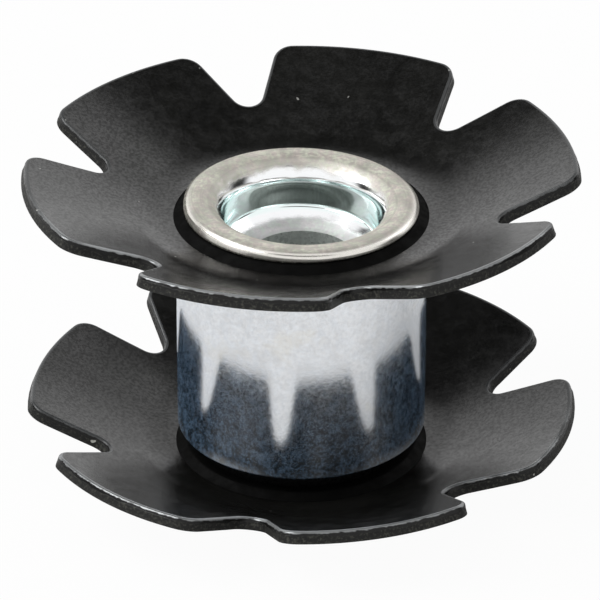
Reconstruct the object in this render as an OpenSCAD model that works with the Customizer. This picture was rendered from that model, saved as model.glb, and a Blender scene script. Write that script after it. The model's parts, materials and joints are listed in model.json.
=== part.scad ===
// Headset star nut: two dished star washers riveted on a threaded sleeve.
// +Z is the sleeve's axis, and the origin is the middle of its lower end face.

/* [Star washers] */
// Largest diameter over the lobe tips
star_d = 26.6; // [22:0.1:32]
// Sheet thickness
sheet_t = 0.62; // [0.4:0.02:0.9]
// Number of lobes, with as many notches between them
lobes = 6; // [4:1:8]
// Slope of the lobes, in degrees
lobe_slope = 23.5; // [15:0.5:32]
// Inside radius of the bend between the flat seat and the lobes
bend_r = 4.5; // [3:0.1:7]
// Height of the raised hub round the hole
hub_h = 0.35; // [0.1:0.05:0.6]
// How far the hub's foot reaches past the barrel, or past the collar if that is the wider
hub_spread = 0.03; // [0.02:0.01:0.1]
// How far the hub's top stays inside the collar's edge
hub_tuck = 0.02; // [0.02:0.01:0.2]
// Flat left around the hub before the bend starts
seat_margin = 0.07; // [0.03:0.01:0.5]
// Depth of a notch, in from the tips
notch_depth = 3.67; // [2.8:0.01:4.5]
// Radius of the round at the root of a notch
notch_round = 0.83; // [0.4:0.01:1.2]
// Width of a notch at the tips, before its corners are rounded
notch_mouth = 4.58; // [2.8:0.02:5.6]
// Radius of the rounded lobe corners
lobe_corner = 1; // [0.3:0.05:1.2]
// Angle of the upper washer's first notch, in degrees from +X
upper_turn = 44.9; // [0:0.1:60]
// Angle of the lower washer's first notch, in degrees from +X
lower_turn = 16.5; // [0:0.1:60]

/* [Sleeve] */
// Diameter of the barrel between the washers
barrel_d = 12; // [10:0.1:15]
// Length of the barrel between the washers, with its relief
barrel_len = 11.35; // [8:0.05:16]
// Wall of the necks that pass through the washers
neck_wall = 0.95; // [0.7:0.05:1.2]
// How far a rolled collar reaches out past its neck
collar_grip = 0.92; // [0.4:0.02:1.2]
// Thickness of a rolled collar
collar_t = 0.5; // [0.4:0.05:0.9]
// Radius of the rounded edges of a collar
collar_round = 0.18; // [0.05:0.01:0.19]
// Break at the barrel's two shoulders
shoulder_break = 0.15; // [0.05:0.05:0.4]
// Height of the relief turned under the barrel
relief_h = 0.8; // [0.2:0.05:1.2]
// How far the relief's bottom stands out past the neck
relief_lip = 0.5; // [0.2:0.05:0.8]

/* [Bore] */
// Minor diameter of the M6 thread
thread_minor_d = 5; // [4.8:0.05:5.2]
// Diameter of the counterbore at each end
counterbore_d = 7.5; // [6.2:0.1:9.2]
// Depth of the upper counterbore
upper_counterbore = 2.33; // [1.4:0.01:3.5]
// Depth of the lower counterbore
lower_counterbore = 1.7; // [1.4:0.01:3.5]
// Slope of a counterbore's floor down to the thread, in degrees
floor_slope = 31; // [10:1:45]
// How far the flared mouth of a counterbore widens, on the radius
flare_w = 1.1; // [0.8:0.02:1.12]
// Radius of the flare's curve
flare_r = 1.2; // [1.15:0.05:1.35]

/* [Fit] */
// Clearance all round between a neck and its washer's hole
neck_clear = 0.05; // [0.02:0.01:0.15]

/* [Hidden] */
$fn = 96;
// A cutter stands proud of what it cuts by this much
proud = 1;

neck_r = counterbore_d / 2 + neck_wall;
collar_r = neck_r + collar_grip;
barrel_r = barrel_d / 2;
hole_r = neck_r + neck_clear;
hub_foot_r = max(barrel_r, collar_r) + hub_spread;
hub_top_r = collar_r - hub_tuck;
seat_r = hub_foot_r + seat_margin;
star_r = star_d / 2;
// The bend ends where its slope reaches that of the lobes, and the tips are cut square to the sheet
bend_c = [seat_r, sheet_t + bend_r];
bend_end = bend_c + bend_r * [sin(lobe_slope), -cos(lobe_slope)];
tip_run = star_r - sheet_t * sin(lobe_slope) - bend_end.x;
tip_top = bend_end + tip_run * [1, tan(lobe_slope)];

// Heights up the sleeve, from its lower end face
lower_seat_z = collar_t;
shoulder_z = lower_seat_z + sheet_t + hub_h;
barrel_top_z = shoulder_z + barrel_len;
sleeve_len = barrel_top_z + sheet_t + hub_h + collar_t;

// A notch in plan, its middle along +X: a round root, and walls that spread to the tips
root_c = [star_r - notch_depth + notch_round, 0];
mouth = [sqrt(star_r * star_r - notch_mouth * notch_mouth / 4), notch_mouth / 2];
wall_turn = atan2(mouth.y, mouth.x - root_c.x) - asin(notch_round / norm(mouth - root_c));
wall_dir = [cos(wall_turn), sin(wall_turn)];
wall_side = [-sin(wall_turn), cos(wall_turn)];
// The round of a lobe's corner touches the notch's wall, and runs out just past the tips
corner_over = 0.02;
corner_base = root_c + (notch_round + lobe_corner) * wall_side;
corner_along = corner_base * wall_dir;
corner_room = pow(star_r + corner_over - lobe_corner, 2) - corner_base * corner_base;
corner_c = corner_base + (sqrt(corner_along * corner_along + corner_room) - corner_along) * wall_dir;

// Steps in each of the arcs below
arc_steps = 12;

// Points along an arc about c, from one angle to another
function arc(c, r, from, to) = [
    for (i = [0 : arc_steps]) let (a = from + (to - from) * i / arc_steps) c + r * [cos(a), sin(a)]
];

// Half section of a washer: hub, flat seat, bend and straight lobe, on its underside at the seat
module washer_section() {
    polygon(concat(
        [[hole_r, 0]],
        arc(bend_c, bend_r + sheet_t, -90, lobe_slope - 90),
        [tip_top + sheet_t * [sin(lobe_slope), -cos(lobe_slope)], tip_top],
        arc(bend_c, bend_r, lobe_slope - 90, -90),
        [[hub_foot_r, sheet_t], [hub_top_r, sheet_t + hub_h], [hole_r, sheet_t + hub_h]]
    ));
}

// What a notch and the two corners beside it take away, in plan
module notch_plan() {
    corner_out = atan2(corner_c.y, corner_c.x);
    side = concat(
        arc(root_c, notch_round, 180, 90 + wall_turn),
        arc(corner_c, lobe_corner, wall_turn - 90, corner_out),
        [(star_r + proud) * [cos(corner_out), sin(corner_out)]]
    );
    polygon(concat(side, [for (i = [len(side) - 1 : -1 : 1]) [side[i].x, -side[i].y]]));
}

// A star washer turned about +Z, its underside at the seat on z = 0
module star_washer(turn) {
    rotate(turn)
        difference() {
            rotate_extrude()
                washer_section();
            for (i = [0 : lobes - 1])
                rotate(i * 360 / lobes)
                    translate([0, 0, -proud])
                        linear_extrude(tip_top.y + 2 * proud)
                            notch_plan();
        }
}

module lower_star_washer() {
    color([0.1, 0.1, 0.1])
        translate([0, 0, lower_seat_z])
            star_washer(lower_turn);
}

module upper_star_washer() {
    color([0.1, 0.1, 0.1])
        translate([0, 0, barrel_top_z])
            star_washer(upper_turn);
}

// Half section of a collar with rounded edges, its outer face on y = 0 and its body above
module collar_section() {
    square([collar_r - collar_round, collar_t]);
    translate([0, collar_round])
        square([collar_r, collar_t - 2 * collar_round]);
    for (y = [collar_round, collar_t - collar_round])
        translate([collar_r - collar_round, y])
            circle(collar_round);
}

// Half section of the barrel, its shoulders broken, with the relief below it
module barrel_section() {
    edge_r = barrel_r - shoulder_break;
    relief_r = min(neck_r + relief_lip, edge_r);
    relief_z = shoulder_z + relief_h;
    polygon([
        [0, shoulder_z], [relief_r, shoulder_z], [relief_r, relief_z], [edge_r, relief_z],
        [barrel_r, relief_z + shoulder_break], [barrel_r, barrel_top_z - shoulder_break],
        [edge_r, barrel_top_z], [0, barrel_top_z]
    ]);
}

// Half section of the way in from an end: flared mouth, counterbore, sloped floor to the thread
module mouth_section(depth) {
    counterbore_r = counterbore_d / 2;
    flare_depth = sqrt(flare_r * flare_r - pow(flare_r - flare_w, 2));
    translate([0, -proud])
        square([counterbore_r, depth + proud]);
    polygon([[0, depth], [counterbore_r, depth], [0, depth + counterbore_r * tan(floor_slope)]]);
    difference() {
        translate([0, -proud])
            square([counterbore_r + flare_w, flare_depth + proud]);
        translate([counterbore_r + flare_r, flare_depth])
            circle(flare_r);
    }
}

// Puts a half section of the lower end at the upper end
module at_upper_end() {
    translate([0, sleeve_len])
        mirror([0, 1])
            children();
}

module threaded_sleeve() {
    color([0.78, 0.77, 0.74])
        rotate_extrude()
            difference() {
                union() {
                    square([neck_r, sleeve_len]);
                    barrel_section();
                    collar_section();
                    at_upper_end()
                        collar_section();
                }
                translate([0, -proud])
                    square([thread_minor_d / 2, sleeve_len + 2 * proud]);
                mouth_section(lower_counterbore);
                at_upper_end()
                    mouth_section(upper_counterbore);
            }
}

lower_star_washer();
threaded_sleeve();
upper_star_washer();
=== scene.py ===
"""Headset star nut: two black spring steel washers riveted on a zinc plated threaded sleeve."""

import json
from math import asin, atan2, cos, degrees, hypot, pi, radians, sin, sqrt, tan

import bpy
from bpy.props import FloatProperty, FloatVectorProperty, IntProperty, PointerProperty
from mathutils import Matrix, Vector, noise

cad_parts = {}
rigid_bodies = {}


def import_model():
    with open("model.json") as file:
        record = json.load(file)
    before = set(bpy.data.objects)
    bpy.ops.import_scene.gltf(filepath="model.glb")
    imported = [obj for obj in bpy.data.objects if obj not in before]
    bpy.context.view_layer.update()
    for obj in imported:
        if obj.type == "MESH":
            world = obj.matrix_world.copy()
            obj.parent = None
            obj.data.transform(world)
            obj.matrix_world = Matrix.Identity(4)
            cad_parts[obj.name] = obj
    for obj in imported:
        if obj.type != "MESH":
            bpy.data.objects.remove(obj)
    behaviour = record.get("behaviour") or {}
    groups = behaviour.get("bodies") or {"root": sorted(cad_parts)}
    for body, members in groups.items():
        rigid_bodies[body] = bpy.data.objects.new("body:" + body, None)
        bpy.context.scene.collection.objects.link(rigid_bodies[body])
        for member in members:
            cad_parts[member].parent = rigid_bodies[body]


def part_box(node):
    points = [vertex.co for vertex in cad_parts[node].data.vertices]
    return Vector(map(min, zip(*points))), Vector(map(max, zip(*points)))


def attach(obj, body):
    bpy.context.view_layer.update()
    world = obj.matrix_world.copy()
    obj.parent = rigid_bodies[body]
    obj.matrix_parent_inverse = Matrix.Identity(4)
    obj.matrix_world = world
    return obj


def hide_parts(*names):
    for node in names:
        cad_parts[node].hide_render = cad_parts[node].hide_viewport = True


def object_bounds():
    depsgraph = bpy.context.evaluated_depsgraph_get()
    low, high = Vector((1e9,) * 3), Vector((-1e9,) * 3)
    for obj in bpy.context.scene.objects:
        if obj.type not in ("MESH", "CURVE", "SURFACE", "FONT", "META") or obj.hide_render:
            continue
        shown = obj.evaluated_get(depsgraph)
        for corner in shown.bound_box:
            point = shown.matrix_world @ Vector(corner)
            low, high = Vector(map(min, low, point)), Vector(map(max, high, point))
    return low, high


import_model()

bl_info = {
    "name": "Star nut",
    "version": (1, 0, 0),
    "blender": (4, 5, 0),
    "location": "3D View > Sidebar > Star nut",
    "description": "Models a headset star nut around its packed frame",
    "category": "Add Mesh",
}

BODY = "root"

# Pieces are drawn one unit to the millimetre, then brought down to metres
MM = 0.001
# Points nearer than this are merged, in millimetres, and numbers this close count as the same
MERGE = 0.0005
SAME = 0.001
LOBES = 6
# Columns of faces across a lobe
COLUMNS = 34
# Break at the barrel's two shoulders, and fillet at the foot of a counterbore, in millimetres
BREAK = 0.15
FILLET = 0.25

cad_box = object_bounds()
sleeve_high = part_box("threaded_sleeve")[1]
# Thickness of a rolled collar, and height of the barrel's upper shoulder
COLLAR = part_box("lower_star_washer")[0].z
BARREL_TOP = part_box("upper_star_washer")[0].z
# The sheet's thickness, and the height of the hub that each washer has round its hole
SHEET = 0.00062
HUB = sleeve_high.z - COLLAR - BARREL_TOP - SHEET
STAR_R = (cad_box[1].y - cad_box[0].y) / 2


# ---------------------------------------------------------------- settings

class StarNutWashers(bpy.types.PropertyGroup):
    """Sizes and finish of the two star washers"""
    radius: FloatProperty(name="Radius", description="Radius over the lobe tips",
                          default=STAR_R, unit="LENGTH", precision=5)
    sheet: FloatProperty(name="Sheet", description="Thickness of the spring steel sheet",
                         default=SHEET, unit="LENGTH", precision=5)
    hole: FloatProperty(name="Hole", description="Radius of the hole that the neck fills",
                        default=0.00475, unit="LENGTH", precision=5)
    seat: FloatProperty(name="Seat", description="Radius of the flat seat",
                        default=0.0061, unit="LENGTH", precision=5)
    hub: FloatProperty(name="Hub", description="Height of the raised hub round the hole",
                       default=HUB, unit="LENGTH", precision=5)
    hub_foot: FloatProperty(name="Hub foot", description="Radius of the hub at its foot",
                            default=0.00603, unit="LENGTH", precision=5)
    hub_top: FloatProperty(name="Hub top", description="Radius of the hub's flat top",
                           default=0.0056, unit="LENGTH", precision=5)
    bend: FloatProperty(name="Bend", description="Inside radius of the bend up to the lobes",
                        default=0.0045, unit="LENGTH", precision=5)
    slope: FloatProperty(name="Slope", description="Slope of the lobes",
                         default=radians(23.5), subtype="ANGLE")
    notch: FloatProperty(name="Notch", description="Depth of a notch, in from the tips",
                         default=0.00367, unit="LENGTH", precision=5)
    root: FloatProperty(name="Notch root", description="Radius of the round at the root of a notch",
                        default=0.00083, unit="LENGTH", precision=5)
    mouth: FloatProperty(name="Notch mouth", description="Width of a notch at the tips",
                         default=0.00458, unit="LENGTH", precision=5)
    corner: FloatProperty(name="Corner", description="Radius of a lobe's corners",
                          default=0.001, unit="LENGTH", precision=5)
    roll: FloatProperty(name="Edge roll", description="Roll of the upper edge left by the punch",
                        default=0.00014, unit="LENGTH", precision=6)
    burnish: FloatProperty(name="Burnished", description="Part of the cut edge that is smooth",
                           default=0.38, min=0, max=1, subtype="FACTOR")
    ragged: FloatProperty(name="Ragged", description="Raggedness of the torn part of the edge",
                          default=0.000022, unit="LENGTH", precision=6)
    upper_turn: FloatProperty(name="Upper turn", description="Angle of the upper washer's notch",
                              default=radians(44.9), subtype="ANGLE")
    lower_turn: FloatProperty(name="Lower turn", description="Angle of the lower washer's notch",
                              default=radians(16.5), subtype="ANGLE")
    tone: FloatVectorProperty(name="Steel", description="Colour of the blackened steel",
                              default=(0.0055, 0.0055, 0.0050), subtype="COLOR", size=3)
    roughness: FloatProperty(name="Roughness", description="Roughness of the blackened faces",
                             default=0.2, min=0, max=1, subtype="FACTOR")
    gloss: FloatProperty(name="Gloss", description="Refractive index of the blackened film",
                         default=1.7, min=1, max=3)
    # At its full value only on the front edges, where it is also a painted highlight
    wear: FloatProperty(name="Wear", description="How bare the rolled corner of the edge is",
                        default=0.5, min=0, max=1, subtype="FACTOR")


class StarNutSleeve(bpy.types.PropertyGroup):
    """Sizes and finish of the threaded sleeve"""
    length: FloatProperty(name="Length", description="Length over the two rolled collars",
                          default=sleeve_high.z, unit="LENGTH", precision=5)
    barrel: FloatProperty(name="Barrel", description="Radius of the barrel",
                          default=sleeve_high.x, unit="LENGTH", precision=5)
    collar: FloatProperty(name="Collar", description="Radius of the rolled collars",
                          default=0.00562, unit="LENGTH", precision=5)
    flat: FloatProperty(name="Collar flat", description="Radius of a collar's flat end face",
                        default=0.0051, unit="LENGTH", precision=5)
    relief: FloatProperty(name="Relief", description="Height of the relief turned under the barrel",
                          default=0.0008, unit="LENGTH", precision=5)
    relief_lip: FloatProperty(name="Relief lip",
                              description="How far the relief stands out past the neck",
                              default=0.0005, unit="LENGTH", precision=5)
    neck: FloatProperty(name="Neck", description="Radius of the necks through the washers",
                        default=0.0047, unit="LENGTH", precision=5)
    bore: FloatProperty(name="Counterbore", description="Radius of the counterbores",
                        default=0.00375, unit="LENGTH", precision=5)
    upper_depth: FloatProperty(name="Upper depth", description="Depth of the upper counterbore",
                               default=0.00233, unit="LENGTH", precision=5)
    lower_depth: FloatProperty(name="Lower depth", description="Depth of the lower counterbore",
                               default=0.0017, unit="LENGTH", precision=5)
    floor: FloatProperty(name="Floor slope", description="Slope of a counterbore's floor",
                         default=radians(31), subtype="ANGLE")
    flare: FloatProperty(name="Flare", description="Radius of the flared mouth's curve",
                         default=0.0012, unit="LENGTH", precision=5)
    minor: FloatProperty(name="Thread minor", description="Minor radius of the M6 thread",
                         default=0.0025, unit="LENGTH", precision=5)
    major: FloatProperty(name="Thread major", description="Major radius of the M6 thread",
                         default=0.003, unit="LENGTH", precision=5)
    pitch: FloatProperty(name="Pitch", description="Pitch of the M6 thread",
                         default=0.001, unit="LENGTH", precision=5)
    lean: FloatProperty(name="Lean", description="How far the upper collar was rolled out of true",
                        default=radians(1.5), subtype="ANGLE")
    sides: IntProperty(name="Sides", description="Faces round the sleeve", default=144, min=48)
    tone: FloatVectorProperty(name="Zinc", description="Colour of the zinc plate",
                              default=(0.94, 0.95, 0.96), subtype="COLOR", size=3)
    bloom: FloatVectorProperty(name="Bloom", description="Colour of the thin bloom on the barrel",
                               default=(0.070, 0.120, 0.185), subtype="COLOR", size=3)
    powder: FloatVectorProperty(name="Powder", description="Colour of the collars' powdery face",
                                default=(0.84, 0.81, 0.72), subtype="COLOR", size=3)
    barrel_rough: FloatProperty(name="Barrel roughness",
                                description="Roughness of the barrel's plate",
                                default=0.15, min=0, max=1, subtype="FACTOR")


class StarNutStage(bpy.types.PropertyGroup):
    """Floor, lamps and camera"""
    elevation: FloatProperty(name="Elevation", description="Height of the camera's view",
                             default=radians(29.09), subtype="ANGLE")
    distance: FloatProperty(name="Distance", description="From the camera to the middle",
                            default=0.2472, unit="LENGTH", precision=4)
    middle: FloatProperty(name="Middle", description="Height that the camera turns about",
                          default=0.007705, unit="LENGTH", precision=5)
    lens: FloatProperty(name="Lens", description="Focal length", default=308, unit="CAMERA")
    floor: FloatProperty(name="Floor", description="How pale the floor is",
                         default=0.95, min=0, max=1, subtype="FACTOR")
    lamp: FloatProperty(name="Lamp", description="Power of the main lamp",
                        default=3.2, unit="POWER")


# ---------------------------------------------------------------- tools

def mode(name):
    bpy.ops.object.mode_set(mode=name)


def nothing_selected():
    if bpy.context.object and bpy.context.object.mode != "OBJECT":
        mode("OBJECT")
    bpy.ops.object.select_all(action="DESELECT")


def name_it(name):
    made = bpy.context.object
    made.name = made.data.name = name
    return made


def only(made):
    nothing_selected()
    made.select_set(True)
    bpy.context.view_layer.objects.active = made


def pick_edges(made, test):
    """Leaves only the edges that pass the test selected, in edit mode."""
    bpy.ops.mesh.select_mode(type="EDGE")
    bpy.ops.mesh.select_all(action="DESELECT")
    mode("OBJECT")
    for edge in made.data.edges:
        edge.select = test(edge)
    mode("EDIT")


def values(made, name):
    """A piece's own numbers of that name, one to a vertex."""
    return [item.value for item in made.data.attributes[name].data]


def apply(made, kind, **settings):
    """Adds a modifier to the active object, sets it and applies it."""
    bpy.ops.object.modifier_add(type=kind)
    modifier = made.modifiers[-1]
    for key, value in settings.items():
        setattr(modifier, key, value)
    bpy.ops.object.modifier_apply(modifier=modifier.name)


def finish_piece(made, node, materials):
    """Brings a piece down to metres, gives it its finish and sets it on the frame."""
    only(made)
    made.scale = (MM, MM, MM)
    bpy.ops.object.transform_apply(location=False, rotation=False, scale=True)
    for material in materials:
        made.data.materials.append(material)
    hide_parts(node)
    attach(made, BODY)


# ---------------------------------------------------------------- shader tools

# Between which values most of a noise lies, and nearly all of it
MOST = (0.35, 0.65)
NEARLY_ALL = (0.3, 0.7)
BLACK = (0, 0, 0)


def new_material(name):
    """A new material and its empty node tree."""
    material = bpy.data.materials.new(name)
    material.use_nodes = True
    material.node_tree.nodes.clear()
    return material, material.node_tree


def put(tree, kind, inputs=None, **settings):
    """Adds a shader node; an input is a value, or the socket that feeds it."""
    made = tree.nodes.new("ShaderNode" + kind)
    for key, value in settings.items():
        setattr(made, key, value)
    for key, value in (inputs or {}).items():
        if isinstance(value, bpy.types.NodeSocket):
            tree.links.new(value, made.inputs[key])
        else:
            made.inputs[key].default_value = value
    return made


def calc(tree, operation, *terms, clamp=False):
    return put(tree, "Math", dict(enumerate(terms)), operation=operation,
               use_clamp=clamp).outputs[0]


def ramp(tree, value, low, high, start=0.0, end=1.0, smooth=True):
    """Value from low to high, brought to the range from start to end."""
    return put(tree, "MapRange", {"Value": value, "From Min": low, "From Max": high,
                                  "To Min": start, "To Max": end},
               interpolation_type="SMOOTHSTEP" if smooth else "LINEAR").outputs[0]


def switch(tree, share, first, second):
    """A number that goes from first to second as share goes from 0 to 1."""
    return put(tree, "Mix", {0: share, 2: first, 3: second}, data_type="FLOAT").outputs[0]


def blend(tree, share, first, second, kind="MIX"):
    """A colour that goes from first to second as share goes from 0 to 1."""
    made = put(tree, "Mix", {0: share}, data_type="RGBA", blend_type=kind)
    for socket, value in ((made.inputs[6], first), (made.inputs[7], second)):
        if isinstance(value, bpy.types.NodeSocket):
            tree.links.new(value, socket)
        else:
            socket.default_value = (*value[:3], 1)
    return made.outputs[2]


def tinted(colour, *tint):
    """A colour times one number, or times one for each channel."""
    return [c * t for c, t in zip(colour, tint * 3)]


def grain(tree, place, scale, detail=3.0, roughness=0.6):
    return put(tree, "TexNoise", {"Vector": place, "Scale": scale, "Detail": detail,
                                  "Roughness": roughness}).outputs[0]


def layered(tree, fine, coarse):
    """Fine grain that rides on coarse."""
    return calc(tree, "ADD", calc(tree, "MULTIPLY", fine, 0.6),
                calc(tree, "MULTIPLY", coarse, 0.4))


def stray(tree, value, reach, *texture):
    """A value that strays by up to reach to either side, by a grain."""
    drift = ramp(tree, grain(tree, *texture), *NEARLY_ALL, -reach, reach)
    return calc(tree, "ADD", value, drift)


def bump(tree, height, distance, strength):
    return put(tree, "Bump", {"Height": height, "Distance": distance,
                              "Strength": strength}).outputs[0]


def surface(tree, shader):
    put(tree, "OutputMaterial", {"Surface": shader.outputs[0]})


def turned(tree):
    """Object coordinates, distance from the sleeve's axis, and height."""
    place = put(tree, "TexCoord").outputs["Object"]
    parts = put(tree, "SeparateXYZ", {0: place}).outputs
    flat = put(tree, "CombineXYZ", {0: parts[0], 1: parts[1]}).outputs[0]
    away = put(tree, "VectorMath", {0: flat}, operation="LENGTH").outputs["Value"]
    return place, away, parts[2]


# ---------------------------------------------------------------- finishes

def black_steel(name, settings, shaded_sheen):
    """Blackened spring steel: satin, with a fine grain and a few pale flecks."""
    material, tree = new_material(name)
    place = put(tree, "TexCoord").outputs["Object"]
    tone = blend(tree, ramp(tree, grain(tree, place, 420, 2, 0.5), *MOST), settings.tone,
                 tinted(settings.tone, 1.6))
    fleck = ramp(tree, grain(tree, place, 2300, 1, 0.4), 0.80, 0.84)
    tone = blend(tree, fleck, tone, (0.35, 0.35, 0.33))
    rough = ramp(tree, grain(tree, place, 1500), *NEARLY_ALL,
                 settings.roughness - 0.03, settings.roughness + 0.05)
    # Below one, this turns the shine down as painted shade, on the lower washer under the upper one
    smudge = ramp(tree, grain(tree, place, 240, 4), *MOST, shaded_sheen * 0.84, shaded_sheen * 1.08)
    speckle = ramp(tree, grain(tree, place, 6500, 2), *MOST, 0.32, 0.68)
    surface(tree, put(tree, "BsdfPrincipled", {
        "Base Color": tone, "Roughness": rough, "IOR": settings.gloss,
        "Specular IOR Level": calc(tree, "MULTIPLY", smudge, speckle),
        "Normal": bump(tree, grain(tree, place, 9000), 0.000004, 0.5)}))
    return material


def cut_steel(settings):
    """The sheet's cut edge: scuffed bright on its rolled corner, brightest on the front edges as a
    painted highlight, burnished below it, then torn.
    """
    material, tree = new_material("black_cut_edge")
    place = put(tree, "TexCoord").outputs["Object"]
    depth = put(tree, "Attribute", attribute_name="depth").outputs["Fac"]
    torn = ramp(tree, stray(tree, depth, 0.08, place, 900, 2, 0.5),
                settings.burnish - 0.03, settings.burnish + 0.06)
    crumbs = grain(tree, place, 7000, 4, 0.7)
    pale = calc(tree, "MULTIPLY", ramp(tree, crumbs, 0.48, 0.68), torn)
    tone = blend(tree, pale, settings.tone, (0.06, 0.06, 0.05))
    fleck = ramp(tree, grain(tree, place, 2600, 1, 0.4), 0.76, 0.80)
    tone = blend(tree, fleck, tone, (0.5, 0.5, 0.46))
    rolled = settings.roll / settings.sheet
    scuffed_and_highlight = ramp(tree, stray(tree, depth, 0.06, place, 2500), rolled * 0.5, rolled * 0.95, 1, 0)
    # The rolled corner is scuffed to metal all round, and much more on the front edges, where the
    # extra metal is a painted highlight
    along = put(tree, "SeparateXYZ", {0: place}).outputs[1]
    front_highlight_and_scuff = ramp(tree, stray(tree, along, 0.003, place, 300, 2, 0.5), -0.009, -0.003,
                  settings.wear, settings.wear * 0.25)
    scuffed_and_highlight = calc(tree, "MULTIPLY", scuffed_and_highlight, front_highlight_and_scuff)
    tone = blend(tree, scuffed_and_highlight, tone, (0.62, 0.64, 0.65))
    surface(tree, put(tree, "BsdfPrincipled", {
        "Base Color": tone, "Roughness": ramp(tree, torn, 0, 1, 0.26, 0.55), "Metallic": scuffed_and_highlight,
        "IOR": 1.35, "Normal": bump(tree, calc(tree, "MULTIPLY", crumbs, torn), 0.00004, 0.6)}))
    return material


def hub_steel(settings):
    """The hub's top and side: dull black, far darker than the sheet, as painted shade in the ring
    round the collar.
    """
    material, tree = new_material("black_hub_painted_shade")
    place = put(tree, "TexCoord").outputs["Object"]
    tone = blend(tree, grain(tree, place, 2600), tinted(settings.tone, 0.1),
                 tinted(settings.tone, 0.4))
    rough = ramp(tree, grain(tree, place, 1800), *NEARLY_ALL, 0.55, 0.75)
    surface(tree, put(tree, "BsdfPrincipled", {"Base Color": tone, "Roughness": rough,
                                               "IOR": 1.15}))
    return material


def barrel_zinc(settings):
    """Bright zinc plate on the barrel: clear metal under a thin, bluish, mottled bloom."""
    material, tree = new_material("zinc_barrel")
    place, _, height = turned(tree)
    speck = grain(tree, place, 5200, 3, 0.65)
    mottle = layered(tree, speck, grain(tree, place, 1500))
    tone = blend(tree, ramp(tree, mottle, *MOST), tinted(settings.tone, 0.82), settings.tone)
    # A few warm clouds
    cloud = ramp(tree, grain(tree, place, 420, 3, 0.5), 0.60, 0.72, 0, 0.35)
    tone = blend(tree, cloud, tone, (0.86, 0.82, 0.72))
    rough = ramp(tree, mottle, *NEARLY_ALL,
                 settings.barrel_rough - 0.03, settings.barrel_rough + 0.05)
    bright = put(tree, "BsdfAnisotropic", {"Color": tone, "Roughness": rough,
                                           "Normal": bump(tree, speck, 0.000005, 0.6)})
    # Fine crystals scatter a little light and look bluish. Their extra strength near the barrel's
    # foot is a painted reflection.
    dust = layered(tree, grain(tree, place, 7000, 2), grain(tree, place, 2000))
    foot = COLLAR + SHEET + HUB + settings.relief
    painted_foot_reflection = ramp(tree, height, foot, foot + 0.004, 1.0, 0.75)
    share = calc(tree, "MULTIPLY", ramp(tree, dust, 0.42, 0.58), painted_foot_reflection)
    powder = put(tree, "BsdfDiffuse", {
        "Color": blend(tree, share, (0.002, 0.009, 0.020), settings.bloom)})
    surface(tree, put(tree, "AddShader", {0: bright.outputs[0], 1: powder.outputs[0]}))
    return material


def thread_zinc(settings):
    """The threads, thinly plated, and the relief outside, painted near black as shade under the
    barrel.
    """
    material, tree = new_material("thread_zinc")
    place, away, _ = turned(tree)
    speck = grain(tree, place, 4000)
    # Near black on the relief: painted shade under the barrel
    relief_shade = ramp(tree, away, settings.bore, settings.neck)
    tone = blend(tree, ramp(tree, speck, *MOST), (0.30, 0.32, 0.31), (0.60, 0.63, 0.61))
    bright = put(tree, "BsdfAnisotropic", {
        "Color": blend(tree, relief_shade, tone, (0.03, 0.03, 0.03)),
        "Roughness": ramp(tree, speck, *NEARLY_ALL, 0.22, 0.36),
        "Normal": bump(tree, speck, 0.000003, 0.6)})
    powder = put(tree, "BsdfDiffuse", {
        "Color": blend(tree, relief_shade, (0.66, 0.69, 0.66), (0.01, 0.01, 0.01))})
    surface(tree, put(tree, "MixShader", {0: 0.5, 1: bright.outputs[0], 2: powder.outputs[0]}))
    return material


def mouth_zinc(settings):
    """Zinc plate on the collars and in the bore: powdery on the rolled rim, clear in the wall."""
    material, tree = new_material("zinc_mouth")
    place, away, height = turned(tree)
    rings = put(tree, "CombineXYZ", {0: away, 1: height}).outputs[0]
    cluster, speck = grain(tree, place, 2600), grain(tree, place, 5200, 3, 0.65)
    bore = settings.bore

    # Where the plate is matt: the rim, less so where it rolls over, and the sloped floor
    out = stray(tree, away, 0.00008, place, 900)
    rim = ramp(tree, out, bore + 0.00014, bore + 0.00042)
    floor = ramp(tree, out, bore - 0.0004, bore - 0.0008)
    rolled = ramp(tree, away, settings.flat + 0.0001, settings.collar - 0.0001, 1.0, 0.35)
    matt = calc(tree, "MAXIMUM", calc(tree, "MULTIPLY", rim, rolled), floor)

    # The clear wall between flare and floor is a little greener
    beyond = calc(tree, "MAXIMUM", ramp(tree, away, bore + 0.00001, bore + 0.00006),
                  ramp(tree, away, bore - 0.0001, bore - 0.0003))
    clear = blend(tree, beyond, tinted(settings.tone, 0.92, 1.0, 0.98), settings.tone)
    bright = put(tree, "BsdfAnisotropic", {
        "Color": blend(tree, rim, clear, tinted(settings.tone, 1.0, 0.96, 0.90)),
        "Roughness": ramp(tree, matt, 0, 1, 0.10, 0.42),
        "Normal": bump(tree, grain(tree, rings, 7000), 0.0000007, 1.0)})

    # The powder varies in hue, and in brightness by clouds, by the lathe's rings and by specks
    dull = blend(tree, rim, (0.80, 0.81, 0.80), settings.powder)
    hue = blend(tree, ramp(tree, cluster, 0.4, 0.6), (1.07, 1.00, 1.02), (0.98, 1.03, 0.97))
    dull = blend(tree, 1.0, dull, hue, "MULTIPLY")
    cloud = ramp(tree, grain(tree, place, 700), 0.38, 0.58, 0.74, 1.0)
    streak = ramp(tree, grain(tree, rings, 4200, 2), 0.36, 0.56, 0.82, 1.0)
    dull = blend(tree, calc(tree, "MULTIPLY", cloud, streak), BLACK, dull)
    dull = blend(tree, ramp(tree, speck, 0.36, 0.64, 0.62, 1.0), BLACK, dull)
    powder = put(tree, "BsdfDiffuse", {"Color": dull})
    share = calc(tree, "MULTIPLY", ramp(tree, speck, *NEARLY_ALL, 0.6, 0.9), matt)
    surface(tree, put(tree, "MixShader", {0: share, 1: bright.outputs[0], 2: powder.outputs[0]}))
    return material


# ---------------------------------------------------------------- star washers

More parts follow.
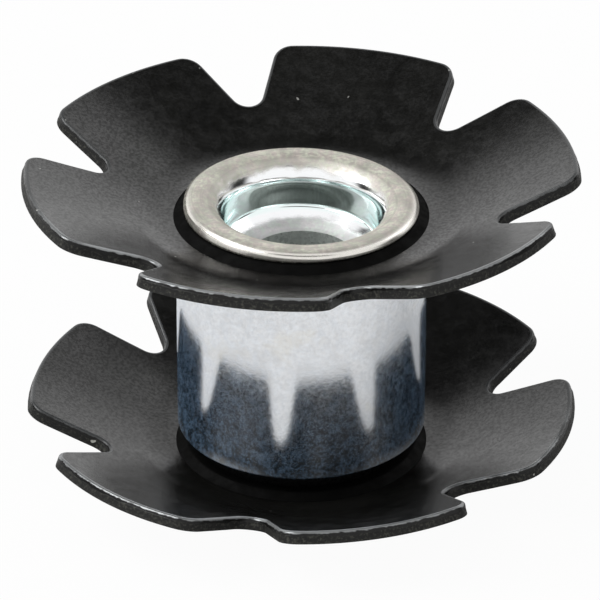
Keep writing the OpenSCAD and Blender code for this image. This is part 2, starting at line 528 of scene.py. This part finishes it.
class Blank:
    """Outline and form of a star washer, in millimetres, the middle of its first notch along +X."""

    def __init__(self, settings):
        self.sheet = settings.sheet / MM
        self.hole = settings.hole / MM
        self.seat = settings.seat / MM
        self.bend = settings.bend / MM
        self.hub = settings.hub / MM
        self.hub_foot, self.hub_top = settings.hub_foot / MM, settings.hub_top / MM
        self.slope = settings.slope
        self.bend_end = self.seat + self.bend * sin(self.slope)
        self.tip = settings.radius / MM - self.sheet * sin(self.slope)
        radius, mouth = settings.radius / MM, settings.mouth / MM / 2
        self.round = settings.root / MM
        self.root = Vector((radius - settings.notch / MM + self.round, 0))
        self.corner_round = settings.corner / MM
        spread = Vector((sqrt(radius * radius - mouth * mouth), mouth)) - self.root
        self.turn = atan2(spread.y, spread.x) - asin(self.round / spread.length)
        self.along = Vector((cos(self.turn), sin(self.turn)))
        self.side = Vector((-sin(self.turn), cos(self.turn)))
        base = self.root + (self.round + self.corner_round) * self.side
        reach = base.dot(self.along)
        room = (self.tip - self.corner_round) ** 2 - base.length_squared
        self.corner = base + (sqrt(reach * reach + room) - reach) * self.along
        self.corner_out = atan2(self.corner.y, self.corner.x)
        self.rows = self.make_rows()

    def make_rows(self):
        """What each row of the sheet lies on: a plain circle, then the outline from root to tip."""
        top, foot = self.hub_top, self.hub_foot
        rows = [("circle", self.hole + (top - self.hole) * i / 3) for i in range(4)]
        rows += [("circle", top + (foot - top) * i / 4) for i in range(1, 5)]
        rows += [("circle", self.seat + self.bend * sin(self.slope * i / 14)) for i in range(15)]
        # The last plain circle keeps clear of the notches' roots
        last = self.root.x - self.round - 0.16
        rows += [("circle", self.bend_end + (last - self.bend_end) * i / 2) for i in (1, 2)]
        rows += [("root", i / 10) for i in range(11)]
        rows += [("wall", i / 9) for i in range(1, 9)]
        rows += [("corner", i / 10) for i in range(11)]
        return rows

    def edge(self, row, inset):
        """Radius and half angle of the notch at a row's ends, the outline drawn in by inset."""
        kind, part = self.rows[row]
        if kind == "circle":
            return part, 0.0
        if kind == "root":
            a = pi + (pi / 2 + self.turn - pi) * part
            point = self.root + (self.round + inset) * Vector((cos(a), sin(a)))
        elif kind == "wall":
            start = self.root + (self.round + inset) * self.side
            end = self.corner - (self.corner_round - inset) * self.side
            point = start.lerp(end, part)
        else:
            start = self.turn - pi / 2
            a = start + (self.corner_out - start) * part
            point = self.corner + (self.corner_round - inset) * Vector((cos(a), sin(a)))
        return point.length, atan2(point.y, point.x)

    def formed(self, radius, angle, depth):
        """The point at a radius on the upper face, gone down by depth square to the sheet."""
        if radius <= self.seat:
            lean, height = 0.0, self.sheet
            # Only the upper face rises over the hub
            if depth < self.sheet / 2:
                part = (self.hub_foot - radius) / (self.hub_foot - self.hub_top)
                height += self.hub * min(max(part, 0), 1)
        elif radius < self.bend_end:
            lean = asin((radius - self.seat) / self.bend)
            height = self.sheet + self.bend * (1 - cos(lean))
        else:
            lean = self.slope
            height = self.sheet + self.bend * (1 - cos(lean)) + (radius - self.bend_end) * tan(lean)
        out = radius + depth * sin(lean)
        return Vector((out * cos(angle), out * sin(angle), height - depth * cos(lean)))

    def point(self, across, row, inset, depth):
        radius, gap = self.edge(row, inset)
        half = pi / LOBES
        return self.formed(radius, half + across * (half - gap), depth)


def lay(made, blank, inset, depth, ragged=0.0):
    """Puts the selected vertices on the sheet at an inset and a depth."""
    across, row = values(made, "across"), values(made, "row")
    down = made.data.attributes["depth"].data
    for vertex in made.data.vertices:
        if vertex.select:
            i = vertex.index
            place = Vector((across[i] * 31, row[i] * 1.7, depth * 9))
            # Coarse tearing with finer tearing on it
            tear = ragged * (noise.noise(place) + 0.6 * noise.noise(place * 2.6))
            vertex.co = blank.point(across[i], round(row[i]), inset + abs(tear), depth)
            down[i].value = depth / blank.sheet


def make_lobe(blank, settings):
    """One lobe, from the middle of one notch to the middle of the next."""
    rows = len(blank.rows) - 1
    bpy.ops.mesh.primitive_grid_add(x_subdivisions=COLUMNS, y_subdivisions=rows, size=2)
    lobe = name_it("lobe")
    for name in ("across", "row", "depth"):
        lobe.data.attributes.new(name, "FLOAT", "POINT")
    for vertex in lobe.data.vertices:
        lobe.data.attributes["across"].data[vertex.index].value = -vertex.co.x
        lobe.data.attributes["row"].data[vertex.index].value = round((vertex.co.y + 1) / 2 * rows)
        vertex.select = True
    roll, sheet = settings.roll / MM, blank.sheet
    foot = roll * 0.3
    lay(lobe, blank, roll, 0)

    # The lower face is a copy of the upper one, a sheet's thickness down
    mode("EDIT")
    bpy.ops.mesh.select_all(action="SELECT")
    bpy.ops.mesh.duplicate()
    bpy.ops.mesh.flip_normals()
    mode("OBJECT")
    lay(lobe, blank, foot, sheet)

    # The cut edge goes down from the upper face in steps: rolled over, burnished, then torn.
    # Each step is an inset, a depth and how ragged it is
    root = next(i for i, row in enumerate(blank.rows) if row[0] == "root")
    across, row, depth = (values(lobe, name) for name in ("across", "row", "depth"))

    def rim_edge(edge):
        """True for the upper face's edges along the tip and both notches."""
        ends = edge.vertices
        if any(depth[i] > SAME for i in ends):
            return False
        sides = [all(row[i] > root - 0.5 and across[i] * way > 1 - SAME for i in ends)
                 for way in (1, -1)]
        return any(sides) or all(row[i] > rows - 0.5 for i in ends)

    mode("EDIT")
    pick_edges(lobe, rim_edge)
    turns = [pi * i / 12 for i in range(1, 7)]
    steps = [(roll * (1 - sin(a)), roll * (1 - cos(a)), 0) for a in turns]
    smooth, ragged = settings.burnish * sheet, settings.ragged / MM
    steps += [(0.0, smooth, 0), (0.004, smooth + 0.04, ragged)]
    steps += [(0.006, smooth + (sheet - foot - smooth) * part, ragged * 1.4)
              for part in (0.35, 0.65)]
    steps += [(0.004, sheet - foot, ragged), (foot * 0.35, sheet - foot * 0.3, ragged * 0.4)]
    steps += [(foot, sheet, 0)]
    for inset, down, tear in steps:
        bpy.ops.mesh.extrude_edges_move()
        mode("OBJECT")
        lay(lobe, blank, inset, down, tear)
        mode("EDIT")
    mode("OBJECT")
    return lobe


def make_star(blank, settings):
    """Six lobes joined into a star, its seat's underside on z = 0."""
    lobe = make_lobe(blank, settings)
    for i in range(1, LOBES):
        only(lobe)
        bpy.ops.object.duplicate()
        bpy.ops.transform.rotate(value=-2 * pi * i / LOBES, orient_axis="Z",
                                 center_override=(0, 0, 0))
        bpy.ops.object.transform_apply(location=False, rotation=True, scale=False)
    nothing_selected()
    for made in bpy.data.objects:
        if made.name.startswith("lobe"):
            made.select_set(True)
    bpy.context.view_layer.objects.active = lobe
    bpy.ops.object.join()
    star = name_it("star")
    mode("EDIT")
    bpy.ops.mesh.select_mode(type="VERT")
    bpy.ops.mesh.select_all(action="SELECT")
    bpy.ops.mesh.remove_doubles(threshold=MERGE)
    inner = blank.hole + 0.05

    def hole_edge(edge):
        return all(hypot(*star.data.vertices[i].co.xy) < inner for i in edge.vertices)

    pick_edges(star, hole_edge)
    bpy.ops.mesh.bridge_edge_loops()
    bpy.ops.mesh.select_all(action="SELECT")
    bpy.ops.mesh.normals_make_consistent(inside=False)
    mode("OBJECT")
    # Finishes: 0 is the blackened face, 1 the cut edge, 2 the hub, darkened as painted shade
    depth = values(star, "depth")
    for face in star.data.polygons:
        depths = [depth[i] for i in face.vertices]
        if hypot(*face.center.xy) < blank.seat and face.center.z > blank.sheet - SAME:
            face.material_index = 2
        else:
            face.material_index = int(max(depths) - min(depths) > 0.0001)
    bpy.ops.object.shade_smooth_by_angle(angle=radians(40))
    apply(star, "WEIGHTED_NORMAL", keep_sharp=True, weight=80)
    return star


class OBJECT_OT_star_washers(bpy.types.Operator):
    """Make the two star washers"""
    bl_idname = "object.star_washers"
    bl_label = "Star washers"

    def execute(self, context):
        settings = context.scene.star_nut_washers
        nothing_selected()
        blank = Blank(settings)
        star = make_star(blank, settings)
        edge, hub = cut_steel(settings), hub_steel(settings)
        only(star)
        bpy.ops.object.duplicate()
        copy = bpy.context.object
        # The lower washer's shine is turned down as painted shade, for the upper washer above it
        for made, name, node, turn, height, shaded_sheen in (
                (star, "lower_washer", "lower_star_washer", settings.lower_turn, COLLAR, 0.68),
                (copy, "upper_washer", "upper_star_washer", settings.upper_turn, BARREL_TOP, 1)):
            only(made)
            name_it(name)
            made.rotation_euler = (0, 0, turn)
            made.location = (0, 0, height / MM)
            bpy.ops.object.transform_apply(location=True, rotation=True, scale=False)
            face = black_steel(name + "_steel", settings, shaded_sheen)
            finish_piece(made, node, [face, edge, hub])
        return {"FINISHED"}


# ---------------------------------------------------------------- threaded sleeve

def arc(centre, radius, start, end, steps):
    """Points along an arc, without its first. Angles are in degrees, and radius is one number,
    or one across and one up."""
    across, up = radius if isinstance(radius, tuple) else (radius, radius)
    turns = [radians(start + (end - start) * i / steps) for i in range(1, steps + 1)]
    return [(centre[0] + across * cos(a), centre[1] + up * sin(a)) for a in turns]


def mouth(settings, depth):
    """Section of an end, from the thread out to the washer, as radius and depth from the end."""
    bore, minor = settings.bore / MM, settings.minor / MM
    flare, fillet = settings.flare / MM, FILLET
    collar, flat, neck = settings.collar / MM, settings.flat / MM, settings.neck / MM
    thick = COLLAR / MM
    floor = depth / MM
    end = floor + (bore - minor) * tan(settings.floor)
    points = [(minor, end)]
    points += [(minor + (bore - minor) * i / 8, end + (floor - end) * i / 8) for i in range(1, 7)]
    # The fillet at the wall's foot touches the sloped floor and the wall
    foot = floor - fillet * (1 / cos(settings.floor) - tan(settings.floor))
    turn = 90 - degrees(settings.floor)
    start = radians(turn)
    points += [(bore - fillet + fillet * cos(start), foot + fillet * sin(start))]
    points += arc((bore - fillet, foot), fillet, turn, 0, 6)
    points += [(bore, foot - (foot - flare) * i / 3) for i in (1, 2)] + [(bore, flare)]
    points += arc((bore + flare, flare), flare, 180, 270, 18)
    # The collar rolls over in one wide curve, then a tight one down to the washer
    points += [(flat, 0)]
    points += arc((flat, thick * 0.72), (collar - flat, thick * 0.72), -90, 0, 12)
    points += arc((collar - 0.1, thick * 0.8), (0.1, thick * 0.2), 0, 90, 4)
    points += [(neck, thick)]
    return points


def sleeve_section(settings):
    """The whole closed section of the sleeve, as radius and height in millimetres."""
    length = settings.length / MM
    barrel, neck = settings.barrel / MM, settings.neck / MM
    shoulder = (COLLAR + SHEET + HUB) / MM
    low_wall = shoulder + settings.relief / MM
    relief = neck + settings.relief_lip / MM
    top = BARREL_TOP / MM
    low = mouth(settings, settings.lower_depth)
    high = [(r, length - d) for r, d in mouth(settings, settings.upper_depth)]
    edge = barrel - BREAK
    side = [(neck, shoulder), (relief, shoulder), (relief, low_wall), (edge, low_wall)]
    side += arc((edge, low_wall + BREAK), BREAK, -90, 0, 4)
    tall = top - low_wall - 2 * BREAK
    side += [(barrel, low_wall + BREAK + tall * i / 12) for i in range(1, 12)]
    side += [(barrel, top - BREAK)] + arc((edge, top - BREAK), BREAK, 0, 90, 4)
    side += [(neck, top)]
    return low + side + high[::-1]


def turn_sleeve(settings):
    """A ring of the bore's radius, extruded along the whole section and back to its start."""
    section = sleeve_section(settings)
    radius, height = section[0]
    bpy.ops.mesh.primitive_circle_add(vertices=settings.sides, radius=radius,
                                      location=(0, 0, height), fill_type="NOTHING")
    made = name_it("sleeve")
    bpy.ops.object.transform_apply(location=True, rotation=False, scale=False)
    mode("EDIT")
    bpy.ops.mesh.select_all(action="SELECT")
    for wide, high in section[1:] + section[:1]:
        bpy.ops.mesh.extrude_edges_move(TRANSFORM_OT_translate={"value": (0, 0, high - height)})
        if abs(wide - radius) > 1e-6:
            bpy.ops.transform.resize(value=(wide / radius, wide / radius, 1),
                                     center_override=(0, 0, high))
        radius, height = wide, high
    bpy.ops.mesh.select_all(action="SELECT")
    bpy.ops.mesh.remove_doubles(threshold=MERGE)
    bpy.ops.mesh.normals_make_consistent(inside=False)
    mode("OBJECT")
    return made


def bore_ends(settings):
    """Heights of the plain bore's two ends, where the cones run out."""
    cone = (settings.bore - settings.minor) * tan(settings.floor)
    low = (settings.lower_depth + cone) / MM
    high = (settings.length - settings.upper_depth - cone) / MM
    return low, high


def make_tap(settings):
    """The M6 tap's ridge, as a closed solid wound up the bore."""
    # The ridge starts a little inside the plain bore, so that the cut leaves no skin
    inner, outer = settings.minor / MM - 0.15, settings.major / MM
    pitch = settings.pitch / MM
    # Half the height of the ridge at its flat crest and at its base
    crest = pitch / 16
    base = crest + (outer - inner) * tan(radians(30))
    low, high = bore_ends(settings)
    turns = int((high - low - 2 * base) / pitch)
    bpy.ops.mesh.primitive_plane_add(size=2, location=(0, 0, 0))
    tap = name_it("tap")
    start = high - base - turns * pitch
    for vertex in tap.data.vertices:
        out, up = vertex.co.x > 0, vertex.co.y > 0
        half = crest if out else base
        vertex.co = (outer if out else inner, 0, start + (half if up else -half))
    mode("EDIT")
    bpy.ops.mesh.select_all(action="SELECT")
    bpy.ops.mesh.delete(type="ONLY_FACE")
    mode("OBJECT")
    apply(tap, "SCREW", axis="Z", angle=2 * pi, screw_offset=pitch, iterations=turns,
          steps=48, render_steps=48, use_smooth_shade=True)
    mode("EDIT")
    bpy.ops.mesh.select_all(action="SELECT")
    bpy.ops.mesh.fill_holes(sides=4)
    bpy.ops.mesh.select_all(action="SELECT")
    bpy.ops.mesh.normals_make_consistent(inside=False)
    mode("OBJECT")
    return tap


def lean_collar(sleeve, settings):
    """Tilts the upper collar, and the bore's upper end inside it, out of true."""
    outside = settings.neck / MM - 0.01
    hub_top = (BARREL_TOP + SHEET + HUB) / MM
    high = bore_ends(settings)[1]
    for vertex in sleeve.data.vertices:
        # The lean comes in over a short height, from nothing
        outer = hypot(*vertex.co.xy) > outside
        start, rise = (hub_top, 0.3) if outer else (high, 0.1)
        part = min(max((vertex.co.z - start) / rise, 0), 1)
        vertex.co.z -= part * vertex.co.x * tan(settings.lean)


def share_out_zinc(sleeve, settings):
    """Finishes: 0 is the barrel's side, 1 the collars and mouths, 2 the thread and relief."""
    low, high = bore_ends(settings)
    length, collar = settings.length / MM, COLLAR / MM
    barrel, thread = settings.barrel / MM - BREAK, settings.major / MM
    near = 0.01
    for face in sleeve.data.polygons:
        away, height = hypot(*face.center.xy), face.center.z
        between = collar + near < height < length - collar - near
        if away > barrel - near and between:
            face.material_index = 0
        elif away < thread + 2 * near and low - near < height < high + near:
            face.material_index = 2
        elif away > settings.neck / MM - near and between:
            face.material_index = 2
        else:
            face.material_index = 1


class OBJECT_OT_threaded_sleeve(bpy.types.Operator):
    """Make the threaded sleeve with its rolled collars"""
    bl_idname = "object.threaded_sleeve"
    bl_label = "Threaded sleeve"

    def execute(self, context):
        settings = context.scene.star_nut_sleeve
        nothing_selected()
        sleeve = turn_sleeve(settings)
        nothing_selected()
        tap = make_tap(settings)
        only(sleeve)
        apply(sleeve, "BOOLEAN", operation="DIFFERENCE", solver="EXACT", object=tap)
        only(tap)
        bpy.ops.object.delete()
        only(sleeve)
        lean_collar(sleeve, settings)
        share_out_zinc(sleeve, settings)
        bpy.ops.object.shade_smooth_by_angle(angle=radians(32))
        finishes = [barrel_zinc(settings), mouth_zinc(settings), thread_zinc(settings)]
        finish_piece(sleeve, "threaded_sleeve", finishes)
        return {"FINISHED"}


# ---------------------------------------------------------------- stage

# How light the dark room is, and the even light on matt surfaces
ROOM = 0.03
EVEN_LIGHT = 0.38
# How far above and left of the middle the camera aims, in metres
AIM_UP, AIM_LEFT = 0.000938, 0.000061


def pale_floor(settings):
    """A matt floor that the camera and the metal see as nearly white, its shadow kept."""
    material, tree = new_material("pale_floor")
    path = put(tree, "LightPath").outputs
    seen = calc(tree, "ADD", path["Is Camera Ray"], path["Is Glossy Ray"], clamp=True)
    seen = calc(tree, "ADD", seen, path["Is Transmission Ray"], clamp=True)
    tone = (settings.floor, settings.floor, settings.floor, 1)
    matt = put(tree, "BsdfDiffuse", {"Color": tone})
    glow = put(tree, "Emission", {"Color": (1, 1, 1, 1), "Strength": 1.0})
    share = calc(tree, "MULTIPLY", seen, switch(tree, path["Is Camera Ray"], 0.1, 0.96))
    surface(tree, put(tree, "MixShader", {0: share, 1: matt.outputs[0], 2: glow.outputs[0]}))
    return material


def studio_sky():
    """What shines in the metal: white behind, in front and overhead, and a dark room between.
    The camera sees plain white, and matt surfaces get even light."""
    world = bpy.data.worlds.new("studio")
    bpy.context.scene.world = world
    world.use_nodes = True
    tree = world.node_tree
    tree.nodes.clear()
    path = put(tree, "LightPath").outputs
    way = put(tree, "TexCoord").outputs["Generated"]
    across, back, up = put(tree, "SeparateXYZ", {0: way}).outputs
    level = put(tree, "VectorMath", {0: way, 1: (1, 1, 0)}, operation="MULTIPLY").outputs[0]
    level = put(tree, "VectorMath", {0: level}, operation="NORMALIZE").outputs[0]
    behind = put(tree, "SeparateXYZ", {0: level}).outputs[1]

    # A sweep behind, its top edge lower to the left than to the right
    top = calc(tree, "SUBTRACT", calc(tree, "ADD", up, 0.04), calc(tree, "MULTIPLY", across, 0.2))
    sweep = calc(tree, "MULTIPLY", ramp(tree, up, 0.34, 0.55, 1.0, 0.74),
                 ramp(tree, behind, 0.2, 0.6))
    sweep = calc(tree, "MULTIPLY", sweep, ramp(tree, top, 0.60, 0.78, 1.0, 0.0))

    # A bank overhead, wider towards its two ends
    beside = calc(tree, "ABSOLUTE", calc(tree, "ADD", back, 0.06))
    far = calc(tree, "SUBTRACT", calc(tree, "ABSOLUTE", across), 0.33)
    wider = calc(tree, "MULTIPLY", calc(tree, "MAXIMUM", far, 0.0), 1.7)
    beside = calc(tree, "SUBTRACT", beside, wider)
    bank = calc(tree, "MULTIPLY", ramp(tree, beside, 0.17, 0.27, 1.0, 0.0),
                ramp(tree, up, 0.5, 0.6))

    # A tall card in front
    card = calc(tree, "MULTIPLY", ramp(tree, behind, -0.3, 0.0, 1.0, 0.0),
                ramp(tree, up, 0.78, 0.88, 1.0, 0.0))
    white = calc(tree, "MAXIMUM", calc(tree, "MAXIMUM", sweep, bank), card)
    shown = ramp(tree, white, 0, 1, ROOM, 1.0, smooth=False)
    mirror = calc(tree, "MAXIMUM", path["Is Glossy Ray"], path["Is Transmission Ray"])
    strength = switch(tree, mirror, EVEN_LIGHT, shown)
    strength = switch(tree, path["Is Camera Ray"], strength, 1.0)
    light = put(tree, "Background", {"Color": (1, 1, 1, 1), "Strength": strength})
    put(tree, "OutputWorld", {"Surface": light.outputs[0]})


def lamp(name, place, size, power, aim):
    bpy.ops.object.light_add(type="AREA", location=place)
    made = bpy.context.object
    made.name = name
    made.data.size = size
    made.data.energy = power
    made.rotation_euler = (Vector(aim) - Vector(place)).to_track_quat("-Z", "Y").to_euler()
    made.visible_camera = False


class SCENE_OT_star_nut_stage(bpy.types.Operator):
    """Set up the floor, the lamps and the camera"""
    bl_idname = "scene.star_nut_stage"
    bl_label = "Stage"

    def execute(self, context):
        settings = context.scene.star_nut_stage
        nothing_selected()
        # The floor lies a hair below the lowest point
        bpy.ops.mesh.primitive_plane_add(size=6, location=(0, 0, cad_box[0].z - 0.00002))
        floor = name_it("floor")
        floor.data.materials.append(pale_floor(settings))
        studio_sky()
        middle = Vector((0, 0, settings.middle))
        lamp("main_lamp", (-0.5, -0.05, 0.5), 0.5, settings.lamp, middle)
        lamp("far_lamp", (0.45, 0.35, 0.4), 0.3, settings.lamp * 0.08, middle)

        tilt = settings.elevation
        back = Vector((0, -cos(tilt), sin(tilt)))
        rise = Vector((0, sin(tilt), cos(tilt)))
        aim = middle + rise * AIM_UP - Vector((AIM_LEFT, 0, 0))
        bpy.ops.object.camera_add(location=middle + back * settings.distance)
        camera = bpy.context.object
        camera.name = "camera"
        camera.rotation_euler = (aim - camera.location).to_track_quat("-Z", "Y").to_euler()
        camera.data.lens = settings.lens
        camera.data.sensor_width = 36
        camera.data.clip_start = 0.01
        camera.data.clip_end = 20
        context.scene.camera = camera
        context.scene.view_settings.view_transform = "Standard"
        return {"FINISHED"}


# ---------------------------------------------------------------- add-on

class VIEW3D_PT_star_nut(bpy.types.Panel):
    """Star nut's settings and makers"""
    bl_label = "Star nut"
    bl_space_type = "VIEW_3D"
    bl_region_type = "UI"
    bl_category = "Star nut"

    def draw(self, context):
        for settings, operator in MAKERS:
            group = getattr(context.scene, settings)
            box = self.layout.box()
            box.operator(operator)
            for name in group.__annotations__:
                box.prop(group, name)


MAKERS = (
    ("star_nut_washers", "object.star_washers"),
    ("star_nut_sleeve", "object.threaded_sleeve"),
    ("star_nut_stage", "scene.star_nut_stage"),
)
CLASSES = (
    StarNutWashers,
    StarNutSleeve,
    StarNutStage,
    OBJECT_OT_star_washers,
    OBJECT_OT_threaded_sleeve,
    SCENE_OT_star_nut_stage,
    VIEW3D_PT_star_nut,
)


def register():
    for cls in CLASSES:
        bpy.utils.register_class(cls)
    bpy.types.Scene.star_nut_washers = PointerProperty(type=StarNutWashers)
    bpy.types.Scene.star_nut_sleeve = PointerProperty(type=StarNutSleeve)
    bpy.types.Scene.star_nut_stage = PointerProperty(type=StarNutStage)


def unregister():
    del bpy.types.Scene.star_nut_stage
    del bpy.types.Scene.star_nut_sleeve
    del bpy.types.Scene.star_nut_washers
    for cls in reversed(CLASSES):
        bpy.utils.unregister_class(cls)


def main():
    register()
    bpy.ops.object.star_washers()
    bpy.ops.object.threaded_sleeve()
    bpy.ops.scene.star_nut_stage()


if __name__ == "__main__":
    main()
